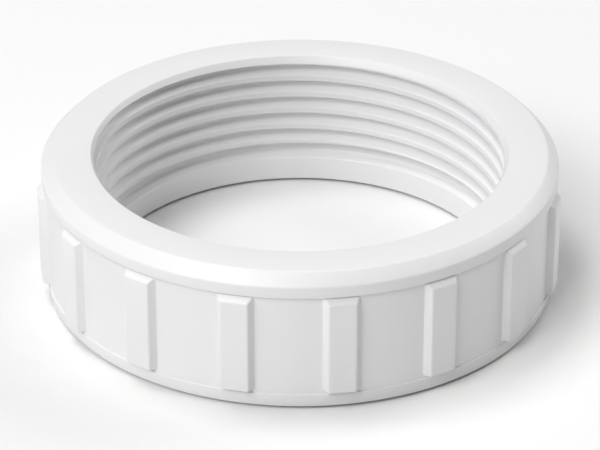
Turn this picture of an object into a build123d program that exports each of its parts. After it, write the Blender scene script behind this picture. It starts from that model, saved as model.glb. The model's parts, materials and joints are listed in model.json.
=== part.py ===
from build123d import *
import os
from math import radians, tan

# Union nut: the threaded coupling ring of a plastic pipe union, moulded in one piece.
# Millimetres. +Z is the nut's axis, and the mouth where the thread starts is at the top.
# The origin is on the axis, in the plane of the standing ring that the nut rests on.
# A radius name ends in _r and is measured from the axis; a height name ends in _z and is
# measured from the plane that the nut stands on.

# Outside of the ring
height = 24.55
rim_r = 41.3  # outer edge of the flat top rim
collar_r = 43.2  # smooth collar below the rim's chamfer
wall_r = 42.75  # recessed wall between the grip lugs
band_r = 42.95  # plain band round the foot, at its top
foot_r = 42.6  # the band leans in a little towards the foot
foot_z = 0.55  # the foot's edges stay this clear of the floor
band_top_z = 3.0
collar_bottom_z = 20.6
collar_top_z = 22.6

# Standing ring, in the middle of the foot
stand_inner_r = 36.0
stand_outer_r = 40.2

# Grip lugs
lug_count = 16
lug_azimuth = -81.2  # centre of the lug nearest the front
lug_r = 43.9
lug_base_width = 6.0
lug_face_width = 4.6
lug_bottom_z = 3.5
lug_top_z = collar_bottom_z
lug_top_slope = 0.95  # fall of the lug's top end, from the wall out to its face
lug_root_depth = 1.0  # how far a lug reaches into the wall, to join it

# Bore
mouth_r = 34.85
crest_r = 34.1
lead_in = 1.25
lip_r = 33.6
lip_z = 4.85

# Thread: eight turns to the inch, right-handed, with rounded grooves between flat crests
pitch = 25.4 / 8
groove_depth = 1.3
groove_width = 2.27  # across the groove's opening, at the crest radius
flank_angle = 30.0
groove_start_azimuth = 115.0
groove_start_z = 6.35
groove_turns = 5.21
groove_overshoot = 0.4  # how far the groove cutter stands into the open bore

# Run-out recess under the thread, which the groove starts from
recess_r = 35.55
recess_top_z = 7.55
recess_bottom_z = 5.45

# Edge rounding
rim_round = 0.6
collar_round = 0.25
band_round = 0.12
foot_round = 0.25
mouth_round = 0.25
lip_round = 0.25
shoulder_round = 0.25
lug_round = 0.5
groove_round = 0.4
recess_round = 0.45

os.makedirs("parts", exist_ok=True)

flank_run = tan(radians(flank_angle))  # groove narrows by this on each side, per unit of depth
groove_root_width = groove_width - 2 * groove_depth * flank_run
cutter_width = groove_width + 2 * groove_overshoot * flank_run
recess_root_z = recess_top_z - (recess_r - crest_r) * flank_run


def section_plane(point):
    """The upright plane through the nut's axis and a point, with its X pointing outwards."""
    outward = Vector(point.X, point.Y, 0).normalized()
    return Plane(origin=point, x_dir=outward, z_dir=outward.cross(Vector(0, 0, 1)))


def corner(sketch, radius, z):
    """The section's corner nearest to a radius and a height."""
    return sketch.vertices().sort_by_distance((radius, z))[0]


# Cross-section of the thread groove: X outwards from the crest radius, Y along the nut's axis
with BuildSketch() as groove_section:
    with BuildLine():
        Polyline(
            (-groove_overshoot, -cutter_width / 2),
            (groove_depth, -groove_root_width / 2),
            (groove_depth, groove_root_width / 2),
            (-groove_overshoot, cutter_width / 2),
            close=True,
        )
    make_face()
    fillet(groove_section.vertices().group_by(Axis.X)[-1], radius=groove_round)

# Groove cutter: the section is swept along the helix, which starts over the +X axis. At the top
# end it is turned about its own inner edge, so that the groove stops with a rounded end.
with BuildPart() as thread_groove:
    with BuildLine() as groove_path:
        Helix(
            pitch=pitch,
            height=groove_turns * pitch,
            radius=crest_r,
            center=(0, 0, groove_start_z),
        )
    with BuildSketch(section_plane(groove_path.line @ 0)):
        add(groove_section.sketch_local)
    sweep(path=groove_path.line, is_frenet=True)
    end_plane = section_plane(groove_path.line @ 1)
    with BuildSketch(end_plane):
        add(groove_section.sketch_local)
    inner_edge = end_plane.from_local_coords((-groove_overshoot, 0, 0))
    revolve(axis=Axis(inner_edge, (0, 0, 1)), revolution_arc=180)

# One grip lug, over the +X axis: sloped sides, a sloped top end and a square bottom end
with BuildPart() as grip_lug:
    with BuildSketch(Plane.XY.offset(lug_bottom_z)):
        with BuildLine():
            Polyline(
                (wall_r - lug_root_depth, -lug_base_width / 2),
                (wall_r, -lug_base_width / 2),
                (lug_r, -lug_face_width / 2),
                (lug_r, lug_face_width / 2),
                (wall_r, lug_base_width / 2),
                (wall_r - lug_root_depth, lug_base_width / 2),
                close=True,
            )
        make_face()
    extrude(amount=lug_top_z - lug_bottom_z)
    top_edge = grip_lug.faces().sort_by(Axis.X)[-1].edges().sort_by(Axis.Z)[-1]
    chamfer(top_edge, length=lug_top_slope, length2=lug_r - wall_r)
    fillet(grip_lug.faces().sort_by(Axis.X)[-1].edges(), radius=lug_round)

# The nut: a turned ring, with the lugs added and the thread cut
with BuildPart() as union_nut:
    with BuildSketch(Plane.XZ) as ring_section:
        with BuildLine():
            Polyline(
                (lip_r, foot_z),
                (stand_inner_r, foot_z),
                (stand_inner_r, 0),
                (stand_outer_r, 0),
                (stand_outer_r, foot_z),
                (foot_r, foot_z),
                (band_r, band_top_z),
                (wall_r, band_top_z),
                (wall_r, collar_bottom_z),
                (collar_r, collar_bottom_z),
                (collar_r, collar_top_z),
                (rim_r, height),
                (mouth_r, height),
                (crest_r, height - lead_in),
                (crest_r, recess_top_z),
                (recess_r, recess_root_z),
                (recess_r, recess_bottom_z),
                (lip_r, lip_z),
                close=True,
            )
        make_face()
        fillet(corner(ring_section, lip_r, foot_z), radius=lip_round)
        fillet(corner(ring_section, foot_r, foot_z), radius=foot_round)
        fillet(corner(ring_section, band_r, band_top_z), radius=band_round)
        fillet(corner(ring_section, collar_r, collar_bottom_z), radius=collar_round)
        fillet(corner(ring_section, collar_r, collar_top_z), radius=rim_round)
        fillet(corner(ring_section, rim_r, height), radius=rim_round)
        fillet(corner(ring_section, mouth_r, height), radius=mouth_round)
        fillet(corner(ring_section, recess_r, recess_root_z), radius=recess_round)
        fillet(corner(ring_section, recess_r, recess_bottom_z), radius=recess_round)
        fillet(corner(ring_section, lip_r, lip_z), radius=shoulder_round)
    revolve(axis=Axis.Z)
    with PolarLocations(0, lug_count, start_angle=lug_azimuth):
        add(grip_lug.part)
    add(thread_groove.part, rotation=(0, 0, groove_start_azimuth), mode=Mode.SUBTRACT)

union_nut.part.label = "union_nut"
export_step(union_nut.part, "parts/union_nut.step")
size = union_nut.part.bounding_box().size
print(f"union nut: {union_nut.part.volume / 1000:.2f} cm3, {size.X:.2f} x {size.Y:.2f} x {size.Z:.2f} mm")
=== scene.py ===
# %% [markdown]
# # A white union nut
#
# The object is the coupling nut of a plastic pipe union: one moulded ring with sixteen grip lugs
# outside and a thread inside. This script models it again for its looks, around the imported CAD
# model, which keeps the sizes. The box is kept at the start, so that the two can be compared at
# the end.

import json
from math import asin, ceil, cos, degrees, hypot, pi, radians, sin, tan

import bmesh
import bpy
from mathutils import Matrix, Vector


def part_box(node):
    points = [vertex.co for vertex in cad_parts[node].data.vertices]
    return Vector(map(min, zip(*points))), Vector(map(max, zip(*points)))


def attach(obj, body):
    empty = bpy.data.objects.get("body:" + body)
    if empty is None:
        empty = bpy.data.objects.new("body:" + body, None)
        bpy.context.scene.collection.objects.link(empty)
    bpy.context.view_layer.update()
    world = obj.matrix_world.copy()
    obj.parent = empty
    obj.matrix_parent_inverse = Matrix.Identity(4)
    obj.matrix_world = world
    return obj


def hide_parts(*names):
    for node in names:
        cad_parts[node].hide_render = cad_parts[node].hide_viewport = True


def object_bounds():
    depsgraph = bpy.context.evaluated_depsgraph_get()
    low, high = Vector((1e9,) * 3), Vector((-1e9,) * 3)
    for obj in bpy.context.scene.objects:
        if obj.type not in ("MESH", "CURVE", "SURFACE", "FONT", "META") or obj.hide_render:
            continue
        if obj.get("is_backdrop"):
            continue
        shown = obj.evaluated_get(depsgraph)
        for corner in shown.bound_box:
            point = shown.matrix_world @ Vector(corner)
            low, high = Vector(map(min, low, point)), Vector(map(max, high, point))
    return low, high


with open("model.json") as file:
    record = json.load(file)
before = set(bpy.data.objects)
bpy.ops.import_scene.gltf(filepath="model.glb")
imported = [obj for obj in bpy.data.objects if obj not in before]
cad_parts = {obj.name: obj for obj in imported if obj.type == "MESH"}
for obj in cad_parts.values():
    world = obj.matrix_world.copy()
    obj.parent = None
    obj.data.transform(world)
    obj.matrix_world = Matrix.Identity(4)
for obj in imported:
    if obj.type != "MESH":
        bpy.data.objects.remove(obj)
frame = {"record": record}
cad_box = [list(corner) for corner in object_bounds()]
foot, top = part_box("union_nut")
mounts = {mount["name"]: mount for mount in frame["record"]["mounts"]}
print("the CAD nut is", [round(1000 * (high - low), 2) for low, high in zip(foot, top)], "mm")

# %% [markdown]
# ## The nut's sizes
#
# A mould maker would draw the ring's section first, so its sizes come first here too. The height
# comes from the CAD model's box and the two bore radii from its mounts. The others are the CAD
# model's own sizes, in metres. A name that ends in _r is a radius from the nut's axis, and a name
# that ends in _z is a height above the foot.

# %% Sizes of the ring, the lugs and the bore
mm = 0.001

height = top.z - foot.z
rim_r = 41.3 * mm
collar_r = 43.2 * mm
collar_bottom_z = height - 3.95 * mm
collar_top_z = height - 1.95 * mm
wall_r = 42.75 * mm
band_r = 42.95 * mm
band_top_z = 3.0 * mm
foot_r = 42.6 * mm
foot_z = 0.55 * mm
stand_inner_r = 36.0 * mm
stand_outer_r = 40.2 * mm

lug_count = 16
lug_azimuth = radians(-81.2)  # the lug nearest the front
lug_r = 43.9 * mm
lug_face_width = 4.6 * mm
lug_base_width = 6.0 * mm
lug_bottom_z = 3.5 * mm
lug_top_z = collar_bottom_z
lug_top_slope = 0.95 * mm

mouth_r = 34.85 * mm
lead_in = 1.25 * mm
crest_r = mounts["thread"]["dims"]["r_mm"] * mm
recess_r = 35.55 * mm
recess_top_z = 7.55 * mm
recess_bottom_z = 5.45 * mm
lip_r = mounts["lip_bore"]["dims"]["r_mm"] * mm
lip_z = 4.85 * mm

pitch = 25.4 / 8 * mm
groove_depth = 1.3 * mm
groove_width = 2.27 * mm
flank_angle = radians(30)
print(f"height {height / mm:.2f} mm, thread crests at a radius of {crest_r / mm:.2f} mm")

# %% [markdown]
# ## The ring's section
#
# The section could be a bezier curve with a bevel, or a cylinder cut down with booleans. Here it
# is one flat face whose corners are rounded by a vertex bevel, because each corner then has its
# own radius, as on the drawing. A vertex bevel measures its offset along the edges, so the
# radius is turned into the distance from the corner to where its arc begins.

# %% Section of the ring, with its corners rounded
ARC_STEPS = 4


def round_corner(bm, corner, radius):
    """Replaces a corner of a flat outline by an arc of that radius."""
    before, after = (edge.other_vert(corner).co - corner.co for edge in corner.link_edges)
    turn = pi - before.angle(after)
    reach = radius * tan(turn / 2)
    bmesh.ops.bevel(
        bm, geom=[corner], offset=reach, offset_type="OFFSET", segments=ARC_STEPS,
        profile=0.5, affect="VERTICES", material=-1,
    )


def flat_outline(bm, corners):
    """Draws (radius, height, rounding) corners as the edges of a section over the +X axis."""
    points = [bm.verts.new((r, 0, z)) for r, z, rounding in corners]
    bm.faces.new(points)
    for point, (r, z, rounding) in zip(points, corners):
        if rounding:
            round_corner(bm, point, rounding)


recess_root_z = recess_top_z - (recess_r - crest_r) * tan(flank_angle)
ring_outline = [
    (lip_r, foot_z, 0.25 * mm),
    (stand_inner_r, foot_z, 0),
    (stand_inner_r, 0, 0.1 * mm),
    (stand_outer_r, 0, 0.1 * mm),
    (stand_outer_r, foot_z, 0),
    (foot_r, foot_z, 0.25 * mm),
    (band_r, band_top_z, 0.12 * mm),
    (wall_r, band_top_z, 0),
    (wall_r, lug_bottom_z, 0),
    (wall_r, lug_top_z, 0),
    (collar_r, collar_bottom_z, 0.25 * mm),
    (collar_r, collar_top_z, 0.6 * mm),
    (rim_r, height, 0.6 * mm),
    (mouth_r, height, 0.25 * mm),
    (crest_r, height - lead_in, 0.2 * mm),
    (crest_r, recess_top_z, 0.12 * mm),
    (recess_r, recess_root_z, 0.45 * mm),
    (recess_r, recess_bottom_z, 0.45 * mm),
    (lip_r, lip_z, 0.25 * mm),
]
ring = bmesh.new()
flat_outline(ring, ring_outline)
print("the ring's section has", len(ring.verts), "points")

# %% [markdown]
# ## One sixteenth of the ring
#
# All the lugs are the same, so one sector is modelled and then repeated. Spinning the section's
# edges gives its surface, and the face of the section itself isn't wanted. A sector has
# twenty-eight steps: ten of them are as wide as a lug, so a lug's sides fall on mesh edges.

# %% Spin one sector
SECTOR_STEPS = 28
sector = 2 * pi / lug_count
half_lug = asin(lug_base_width / 2 / wall_r)
lug_steps = round(2 * half_lug / sector * SECTOR_STEPS)

bmesh.ops.delete(ring, geom=ring.faces[:], context="FACES_ONLY")
bmesh.ops.rotate(
    ring, verts=ring.verts[:], cent=(0, 0, 0), matrix=Matrix.Rotation(-sector / 2, 3, "Z")
)
bmesh.ops.spin(
    ring, geom=ring.verts[:] + ring.edges[:], cent=(0, 0, 0), axis=(0, 0, 1),
    angle=sector, steps=SECTOR_STEPS, use_merge=False, use_duplicate=False,
)
bmesh.ops.recalc_face_normals(ring, faces=ring.faces[:])
print(f"a lug is {lug_steps} of {SECTOR_STEPS} steps, {degrees(sector):.1f} degrees a sector")

# %% [markdown]
# ## The grip lug
#
# A lug could be a separate box joined to the wall, but then the two would only cross. Extruding
# the wall's own faces keeps the skin in one piece, as it is in the mould. The raised faces are
# flattened, narrowed and lowered at the top end, which gives the sloped sides and the sloped top.
# The bottom end stays square. Bevels then round the lug's outer edges and fill its root a little.

# %% Raise the lug from the wall
def centre_of(face):
    """Radius, azimuth and height of a face's middle."""
    middle = face.calc_center_median()
    return hypot(middle.x, middle.y), Vector((1, 0)).angle_signed(middle.xy, 0), middle.z


def is_lug_base(face):
    """Whether a face is part of the wall that the lug grows from."""
    radius, azimuth, z = centre_of(face)
    on_wall = abs(radius - wall_r) < 0.05 * mm and lug_bottom_z < z < lug_top_z
    return on_wall and abs(azimuth) < lug_steps / 2 * sector / SECTOR_STEPS


lug_base = [face for face in ring.faces if is_lug_base(face)]
raised = bmesh.ops.extrude_face_region(ring, geom=lug_base)["geom"]
bmesh.ops.delete(ring, geom=lug_base, context="FACES")
lug_face = [item for item in raised if isinstance(item, bmesh.types.BMFace)]
lug_points = list({point for face in lug_face for point in face.verts})
bmesh.ops.scale(
    ring, vec=(0, lug_face_width / lug_base_width, 1), verts=lug_points,
    space=Matrix.Translation((-lug_r, 0, 0)),
)
lug_top_points = [point for point in lug_points if point.co.z > lug_top_z - lug_top_slope]
bmesh.ops.translate(ring, verts=lug_top_points, vec=(0, 0, -lug_top_slope))
print("the lug's face is", len(lug_face), "faces wide")

# %% [markdown]
# The lug's edges are found by where they are and how sharply they turn: a convex edge belongs to
# the lug's outside and a hollow one to its root. Bevelling every edge over some angle would be
# shorter, but it would catch the collar's underside and the band's upper edge as well.

# %% Round the lug's edges and its root
lug_edge_round = 0.28 * mm
lug_root_round = 0.15 * mm


def lug_edges(bm, convex):
    """The creases of the lug: its outer edges, or the edges where it meets the wall."""
    found = []
    for edge in bm.edges:
        middle = (edge.verts[0].co + edge.verts[1].co) / 2
        near = abs(middle.y) < 0.55 * lug_base_width and middle.x > wall_r - 0.2 * mm
        inside = lug_bottom_z - 0.1 * mm < middle.z < lug_top_z - 0.1 * mm
        if near and inside and len(edge.link_faces) == 2 and edge.is_convex == convex:
            if edge.calc_face_angle() > radians(15):
                found.append(edge)
    return found


for convex, rounding, steps in ((True, lug_edge_round, 4), (False, lug_root_round, 2)):
    creases = lug_edges(ring, convex)
    bmesh.ops.bevel(
        ring, geom=creases, offset=rounding, offset_type="OFFSET", segments=steps,
        profile=0.5, affect="EDGES", clamp_overlap=True, material=-1,
    )
    print("rounded", len(creases), "outer" if convex else "root", "edges")

# %% [markdown]
# ## Sixteen sectors
#
# Spinning with use_duplicate copies the sector instead of stretching it. Its two open ends meet
# those of its neighbours, so merging the doubled points closes the ring. The first lug is then
# turned to its place, and the normals are recalculated on the closed skin.

# %% Repeat the sector round the axis
bmesh.ops.spin(
    ring, geom=ring.verts[:] + ring.edges[:] + ring.faces[:], cent=(0, 0, 0), axis=(0, 0, 1),
    angle=sector * (lug_count - 1), steps=lug_count - 1, use_merge=False, use_duplicate=True,
)
bmesh.ops.remove_doubles(ring, verts=ring.verts[:], dist=0.001 * mm)
bmesh.ops.rotate(
    ring, verts=ring.verts[:], cent=(0, 0, 0), matrix=Matrix.Rotation(lug_azimuth, 3, "Z")
)
bmesh.ops.recalc_face_normals(ring, faces=ring.faces[:])
open_edges = sum(not edge.is_manifold for edge in ring.edges)
print("the plain ring has", len(ring.faces), "faces and", open_edges, "open edges")

# %% [markdown]
# ## The thread
#
# The thread is a groove of one section that climbs one pitch a turn. A screw modifier could make
# it, but its two ends would need mending: at the foot the groove opens into a plain recess, and
# at the mouth it stops with a rounded end. So a cutter is spun instead, with a step up at each
# step round, and its last section is swung about its own inner edge to round the end. The
# section's shoulders flare, so the cut leaves rounded crests and not knife edges.

# %% Section of the groove cutter
groove_turns = 5.21
groove_start_azimuth = radians(115)
groove_start_z = 6.35 * mm
root_round = 0.4 * mm
shoulder = 0.05 * mm  # how far below the crest, and how far along it, a shoulder reaches
shoulder_round = 0.12 * mm
clearance = 0.4 * mm  # how far the cutter stands into the open bore

flank_run = tan(flank_angle)
half_width = groove_width / 2
half_root = half_width - groove_depth * flank_run
lower_half = [
    (crest_r - clearance, -half_width - shoulder, 0),
    (crest_r - shoulder / 2, -half_width - shoulder, 0),
    (crest_r + shoulder, -half_width + shoulder * flank_run, shoulder_round),
    (crest_r + groove_depth, -half_root, root_round),
]
groove_outline = lower_half + [(r, -z, rounding) for r, z, rounding in reversed(lower_half)]
cutter = bmesh.new()
flat_outline(cutter, groove_outline)
bmesh.ops.delete(cutter, geom=cutter.faces[:], context="FACES_ONLY")
print("the groove's section has", len(cutter.verts), "points")

# %% [markdown]
# A spin with a dvec climbs or falls as it turns, so it makes a helix. Five turns in one spin would
# be slow, because its time grows faster than its number of steps. One sector is spun and then
# repeated, like the lugs. It starts at the groove's upper end and goes down, so that this end
# stays exact and the spare part of a sector runs out in the recess.

# %% Spin the cutter down the helix, one sector at a time
groove_sectors = ceil(groove_turns * lug_count)
sector_fall = pitch / lug_count
end_azimuth = groove_start_azimuth + groove_turns * 2 * pi
end_z = groove_start_z + groove_turns * pitch

bmesh.ops.translate(cutter, verts=cutter.verts[:], vec=(0, 0, end_z))
bmesh.ops.rotate(
    cutter, verts=cutter.verts[:], cent=(0, 0, 0), matrix=Matrix.Rotation(end_azimuth, 3, "Z")
)
bmesh.ops.spin(
    cutter, geom=cutter.verts[:] + cutter.edges[:], cent=(0, 0, 0), axis=(0, 0, 1),
    dvec=(0, 0, -sector_fall / SECTOR_STEPS), angle=-sector, steps=SECTOR_STEPS,
    use_merge=False, use_duplicate=False,
)
bmesh.ops.spin(
    cutter, geom=cutter.verts[:] + cutter.edges[:] + cutter.faces[:], cent=(0, 0, 0),
    axis=(0, 0, 1), dvec=(0, 0, -sector_fall), angle=-sector * (groove_sectors - 1),
    steps=groove_sectors - 1, use_merge=False, use_duplicate=True,
)
bmesh.ops.remove_doubles(cutter, verts=cutter.verts[:], dist=0.0005 * mm)
print("the groove falls", round(groove_sectors * sector_fall / mm, 2), "mm")

# %% [markdown]
# A groove that ends in a flat wall would look sawn off. Its last section is turned a quarter about
# a line on its inner edge, which leads it out of the wall and gives the groove a rounded end.

# %% Swing the groove's upper end round, and close the cutter
inner_edge = Vector((cos(end_azimuth), sin(end_azimuth), 0)) * (crest_r - clearance)
upper_loop = [edge for edge in cutter.edges if edge.is_boundary and edge.verts[0].co.z > height / 2]
bmesh.ops.spin(
    cutter, geom=upper_loop, cent=inner_edge, axis=(0, 0, 1), angle=pi / 2, steps=10,
    use_merge=False, use_duplicate=False,
)
bmesh.ops.remove_doubles(cutter, verts=cutter.verts[:], dist=0.0005 * mm)
bmesh.ops.holes_fill(cutter, edges=[edge for edge in cutter.edges if edge.is_boundary], sides=0)
bmesh.ops.recalc_face_normals(cutter, faces=cutter.faces[:])
open_edges = sum(not edge.is_manifold for edge in cutter.edges)
print("the cutter has", len(cutter.faces), "faces and", open_edges, "open edges")

# %% [markdown]
# Both skins are closed, so a boolean can take one from the other. The exact solver takes a few
# seconds, but the quickest one would leave open edges along this cut. The modifier's result is
# kept as a plain mesh, and the cutter is removed.

# %% Cut the groove
def as_object(bm, name):
    """Turns a bmesh into an object at the origin."""
    mesh = bpy.data.meshes.new(name)
    bm.to_mesh(mesh)
    bm.free()
    made = bpy.data.objects.new(name, mesh)
    bpy.context.scene.collection.objects.link(made)
    return made


nut = as_object(ring, "nut_moulding")
groove = as_object(cutter, "groove_cutter")
cut = nut.modifiers.new("groove", "BOOLEAN")
cut.operation = "DIFFERENCE"
cut.solver = "EXACT"
cut.object = groove
bpy.context.view_layer.update()
threaded = bpy.data.meshes.new_from_object(nut.evaluated_get(bpy.context.evaluated_depsgraph_get()))
nut.modifiers.clear()
nut.data = threaded
bpy.data.objects.remove(groove)
print("the threaded nut has", len(threaded.polygons), "faces")

# %% [markdown]
# A boolean can leave points that lie almost on each other, which show as dark specks once the
# shading is smooth. They are merged first. Edges that turn by more than 40 degrees stay sharp.

# %% Clean the cut mesh
skin = bmesh.new()
skin.from_mesh(threaded)
bmesh.ops.remove_doubles(skin, verts=skin.verts[:], dist=0.0005 * mm)
bmesh.ops.dissolve_degenerate(skin, edges=skin.edges[:], dist=0.0005 * mm)
open_edges = sum(not edge.is_manifold for edge in skin.edges)
volume = skin.calc_volume()
skin.to_mesh(threaded)
skin.free()
sharp_angle = radians(40)
threaded.shade_smooth()
threaded.set_sharp_from_angle(angle=sharp_angle)
print(f"{open_edges} open edges, volume {volume / mm**3 / 1000:.2f} cm3")

# %% [markdown]
# ## Shader maths as Python
#
# The finishes need sums and products of textures. Wired by hand, each one is a Math node and two
# links. Here a small class wraps a node's output, so that the same sum is one line of Python.
# Its node method adds any other kind of node: the settings go first, because some of them change
# which sockets a node has.

# %% A wrapped socket
class Signal:
    """A node's output, with the operators that the finishes use."""

    def __init__(self, output):
        self.output = output
        self.tree = output.id_data

    def node(self, kind, settings, sockets, output=0):
        """Adds a node beside this one and returns one of its outputs."""
        made = self.tree.nodes.new(kind)
        for name, value in settings.items():
            setattr(made, name, value)
        for name, value in sockets.items():
            if isinstance(value, Signal):
                self.tree.links.new(value.output, made.inputs[name])
            else:
                made.inputs[name].default_value = value
        return Signal(made.outputs[output])

    def math(self, operation, first, second):
        return self.node("ShaderNodeMath", {"operation": operation}, {0: first, 1: second})

    def __add__(self, other):
        return self.math("ADD", self, other)

    def __sub__(self, other):
        return self.math("SUBTRACT", self, other)

    def __mul__(self, other):
        return self.math("MULTIPLY", self, other)

    def __pow__(self, other):
        return self.math("POWER", self, other)

    __radd__ = __add__
    __rmul__ = __mul__

    def __rsub__(self, other):
        return self.math("SUBTRACT", other, self)

    def noise(self, cell, detail):
        """A soft random pattern on this vector, about 0.5 on average, with cells of that size."""
        sockets = {"Vector": self, "Scale": 1 / cell, "Detail": detail}
        return self.node("ShaderNodeTexNoise", {}, sockets)

    def blend(self, first, second):
        """The first colour where this is 0 and the second where it is 1."""
        return self.node(
            "ShaderNodeMix", {"data_type": "RGBA"}, {0: self, 6: first, 7: second}, output=2
        )


def new_finish(name):
    """A material, its shader node and its object coordinates in metres."""
    finish = bpy.data.materials.new(name)
    finish.use_nodes = True
    tree = finish.node_tree
    place = Signal(tree.nodes.new("ShaderNodeTexCoord").outputs["Object"])
    return finish, tree.nodes["Principled BSDF"], place


def feed(shader, socket_name, signal):
    """Links a signal to a socket of the shader."""
    shader.id_data.links.new(signal.output, shader.inputs[socket_name])


print("the finishes can be written as sums of signals")

# %% [markdown]
# ## Satin white plastic
#
# The nut is moulded in white plastic. Its skin copies the steel of the mould, here an even satin
# with no printed pattern. Five faint things keep it from looking too clean: the grain of
# the steel, the turning marks of the round mould inserts, the upright marks of the draw out of the
# mould, the slow waves where the plastic shrank as it cooled, and the clouding where the flow of
# white pigment wasn't even. An image texture could show them, but noise on object coordinates has
# no seams and keeps its scale.

# %% Patterns of the moulded skin
plastic, plastic_shader, place = new_finish("satin_white_plastic")
x, y, z = (place.node("ShaderNodeSeparateXYZ", {}, {0: place}, output=axis) for axis in range(3))
radius = (x * x + y * y) ** 0.5

grain = place.noise(0.22 * mm, 2)
waves = place.noise(9 * mm, 1)
clouds = place.noise(22 * mm, 3)
across_turning = place.node("ShaderNodeCombineXYZ", {}, {0: radius, 1: z, 2: 0.02 * x})
turning = across_turning.noise(0.35 * mm, 2)
along_draw = place.node("ShaderNodeCombineXYZ", {}, {0: x, 1: y, 2: 0.06 * z})
draw_marks = along_draw.noise(0.9 * mm, 1)
print("the skin's patterns take", len(plastic.node_tree.nodes), "nodes")

# %% [markdown]
# The heights below are in millimetres, and the bump node's distance is one millimetre, so the
# depth of each pattern can be read straight from the sum. The grain is less than a fiftieth of a
# millimetre deep. Colour and roughness change by a few hundredths, which can't be seen as a
# pattern, but keeps large smooth faces from looking like one flat grey.

# %% The plastic from its patterns
clear_white = (0.757, 0.756, 0.759, 1)
clouded_white = (0.725, 0.724, 0.721, 1)
skin_roughness = 0.42

relief = 0.018 * grain + 0.1 * waves + 0.01 * turning + 0.006 * draw_marks
skin_normal = relief.node(
    "ShaderNodeBump", {}, {"Strength": 1.0, "Distance": mm, "Height": relief}
)
clouding = 1.6 * (clouds - 0.5) + 0.5  # the clouds with more contrast
feed(plastic_shader, "Base Color", clouding.blend(clear_white, clouded_white))
feed(plastic_shader, "Roughness", skin_roughness + 0.12 * (draw_marks - 0.5) + 0.16 * (clouds - 0.5))
feed(plastic_shader, "Normal", skin_normal)
plastic_shader.inputs["IOR"].default_value = 1.53

nut.data.materials.clear()
nut.data.materials.append(plastic)
print("the plastic takes", len(plastic.node_tree.nodes), "nodes")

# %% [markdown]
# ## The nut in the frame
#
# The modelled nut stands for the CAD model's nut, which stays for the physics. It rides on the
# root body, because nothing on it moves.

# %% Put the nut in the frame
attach(nut, "root")
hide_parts("union_nut")
triangles = sum(len(polygon.vertices) - 2 for polygon in nut.data.polygons)
print("the nut has", triangles, "triangles")

# %% [markdown]
# ## The paper it stands on
#
# The nut stands on a sheet of white backdrop paper. It is far larger than the nut, so its edges
# stay out of sight from every side. Paper is matt: its specular level is nothing, its roughness
# is full, and a fine tooth with a little mottling keeps the shadows from looking too clean.

# %% Floor
floor_half = 4.0
floor_mesh = bmesh.new()
bmesh.ops.create_grid(floor_mesh, x_segments=1, y_segments=1, size=floor_half)
floor = as_object(floor_mesh, "floor")
floor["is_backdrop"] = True

paper, paper_shader, place = new_finish("white_paper")
tooth = place.noise(0.3 * mm, 3)
mottling = place.noise(30 * mm, 2)
tooth_normal = tooth.node(
    "ShaderNodeBump", {}, {"Strength": 1.0, "Distance": mm, "Height": 0.02 * tooth}
)
bright_paper = (0.795, 0.792, 0.780, 1)
mottled_paper = (0.785, 0.782, 0.770, 1)
feed(paper_shader, "Base Color", mottling.blend(bright_paper, mottled_paper))
feed(paper_shader, "Normal", tooth_normal)
paper_shader.inputs["Roughness"].default_value = 1.0
paper_shader.inputs["Specular IOR Level"].default_value = 0.0
floor.data.materials.append(paper)
print("the paper is", 2 * floor_half, "m square")

# %% [markdown]
# ## Soft light from the left
#
# White on white only reads by its shading, so the light has to come mostly from one side. Square
# area lights stand round the nut like softboxes: two at the front left, one low at the left that
# makes the lugs' left sides glow, one overhead that deepens the thread's grooves, and one at the
# back right that fills the bore. Together they leave the right-hand walls greyer and a soft shadow
# at the right. A little even light from the world keeps the far side from going black.

# %% Lights
bpy.context.scene.view_settings.view_transform = "Standard"
world = bpy.data.worlds.new("studio")
bpy.context.scene.world = world
world.use_nodes = True
backdrop = world.node_tree.nodes["Background"]
backdrop.inputs["Color"].default_value = (1, 1, 1, 1)
backdrop.inputs["Strength"].default_value = 0.1

softbox_distance = 1.6
daylight = (0.985, 0.985, 1.0)  # a little cool, where the paper is a little warm


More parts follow.
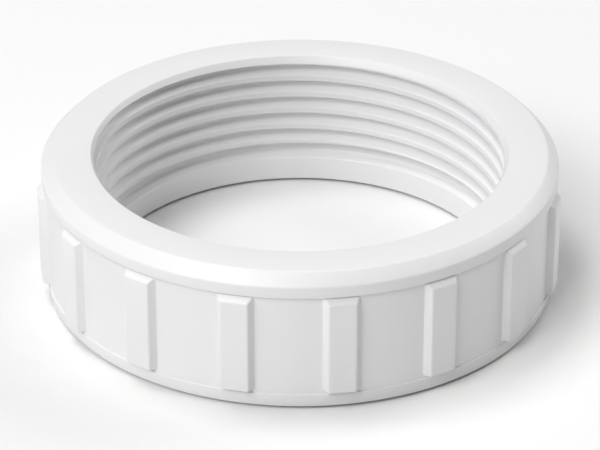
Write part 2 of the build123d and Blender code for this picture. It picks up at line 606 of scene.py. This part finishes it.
def softbox(name, azimuth, elevation, size, watts):
    """A square area light that faces the nut."""
    light = bpy.data.lights.new(name, "AREA")
    light.shape = "SQUARE"
    light.size = size
    light.energy = watts
    light.color = daylight
    made = bpy.data.objects.new(name, light)
    bpy.context.scene.collection.objects.link(made)
    flat = Vector((cos(azimuth), sin(azimuth), 0)) * cos(elevation)
    direction = flat + Vector((0, 0, sin(elevation)))
    made.location = direction * softbox_distance
    made.rotation_euler = direction.to_track_quat("Z", "Y").to_euler()


SOFTBOXES = [
    ("overhead", 150, 70, 0.6, 10.0),
    ("left_low", 205, 25, 1.0, 5.0),
    ("front_left_high", 230, 50, 1.0, 13.0),
    ("front_left_low", 240, 40, 0.6, 5.0),
    ("back_right", 30, 35, 1.0, 12.0),
]
for name, azimuth, elevation, size, watts in SOFTBOXES:
    softbox(name, radians(azimuth), radians(elevation), size, watts)
print(len(SOFTBOXES), "softboxes,", sum(row[-1] for row in SOFTBOXES), "watts")

# %% [markdown]
# ## The camera
#
# The camera looks down into the bore at about 28 degrees. A long lens at half a metre keeps the
# ellipses nearly parallel. Its distance is measured from the middle of the rim, and it aims a
# little under the nut's middle, which leaves the same room above the rim as below the foot.

# %% Camera
camera_distance = 523.2 * mm
camera_elevation = radians(27.82)

camera = bpy.data.objects.new("camera", bpy.data.cameras.new("camera"))
bpy.context.scene.collection.objects.link(camera)
camera.data.sensor_width = 36
camera.data.lens = 188.2
camera.data.clip_start = 0.01
sight = Vector((0, -cos(camera_elevation), sin(camera_elevation)))
camera.location = Vector((0, 0, height)) + sight * camera_distance
aim = Vector((0, 0, 9.75 * mm))
camera.rotation_euler = (aim - camera.location).to_track_quat("-Z", "Y").to_euler()
bpy.context.scene.camera = camera
print("the camera is", [round(1000 * value) for value in camera.location], "mm from the nut's foot")

# %% [markdown]
# ## The size of the finished nut
#
# The modelled nut has to fill the same box as the CAD model, so both boxes are kept side by side.

# %% Finish
visual_box = [list(corner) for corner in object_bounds()]
growth = [round((seen - made) / mm, 3) for seen, made in zip(visual_box[1], cad_box[1])]
print("beyond the CAD box at its upper corner:", growth, "mm")
